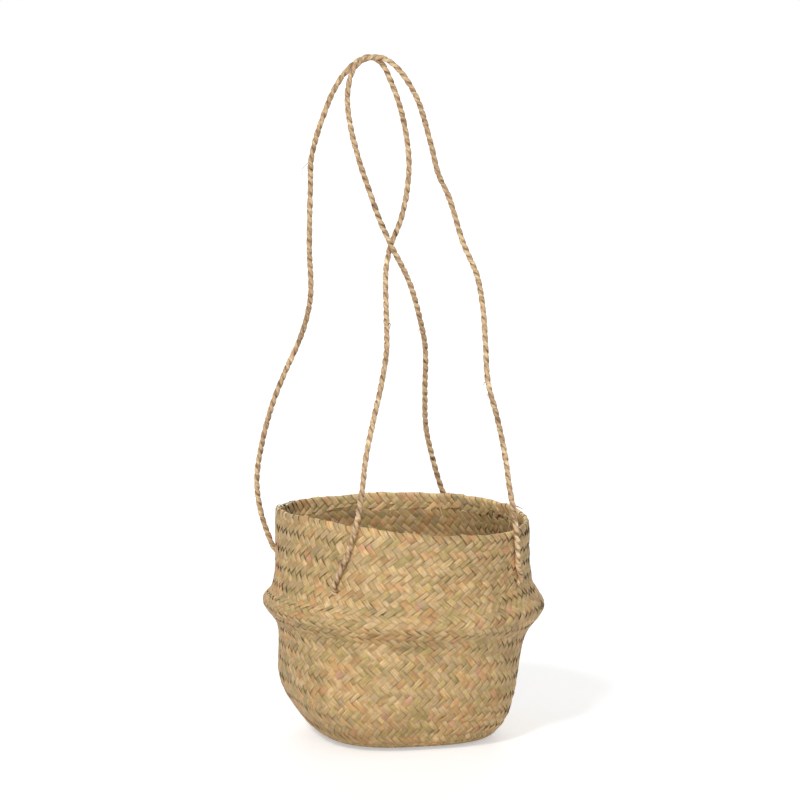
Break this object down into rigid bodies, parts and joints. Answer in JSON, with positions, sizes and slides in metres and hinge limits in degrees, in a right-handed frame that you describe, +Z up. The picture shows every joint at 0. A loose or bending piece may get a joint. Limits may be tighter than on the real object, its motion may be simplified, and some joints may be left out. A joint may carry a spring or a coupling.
{
  "type": "hanging planter basket",
  "caption": "Soft plaited seagrass basket with a flat square base, a pressed belly ridge, an open mouth with a turned-in hem, and long twisted cord handles for hanging it from a hook.",
  "frame": {"origin": "middle of the flat underside, in the plane the basket stands on", "axes": "+Z up through the mouth; the sides of the square base lie along X and Y; the two handles hinge at -X and +X, and the pictured side faces -Y, seen from a little to the left"},
  "size_m": [0.252, 0.252, 0.6103],
  "materials": {
    "plaited_seagrass": "dry flat seagrass strips, straw to olive tan, plaited in a bias twill",
    "hem_seagrass": "turned-in ends of the same strips, shaded and slightly frayed",
    "twisted_cord": "two-ply twisted seagrass cord, dry and slightly hairy"
  },
  "bodies": {
    "basket": {"woven_basket": "plaited_seagrass", "rim_hem": "hem_seagrass", "rear_left_knot": "twisted_cord", "front_left_knot": "twisted_cord", "rear_right_knot": "twisted_cord", "front_right_knot": "twisted_cord"},
    "left_handle": {"left_handle_cord": "twisted_cord"},
    "right_handle": {"right_handle_cord": "twisted_cord"}
  },
  "joints": [
    {"name": "left_handle_fall", "type": "hinge", "parent": "basket", "child": "left_handle", "pos_m": [-0.086, 0, 0.149], "axis": [0, -1, 0], "range_deg": [0, 105]},
    {"name": "right_handle_fall", "type": "hinge", "parent": "basket", "child": "right_handle", "pos_m": [0.086, 0, 0.149], "axis": [0, 1, 0], "range_deg": [0, 114]}
  ]
}
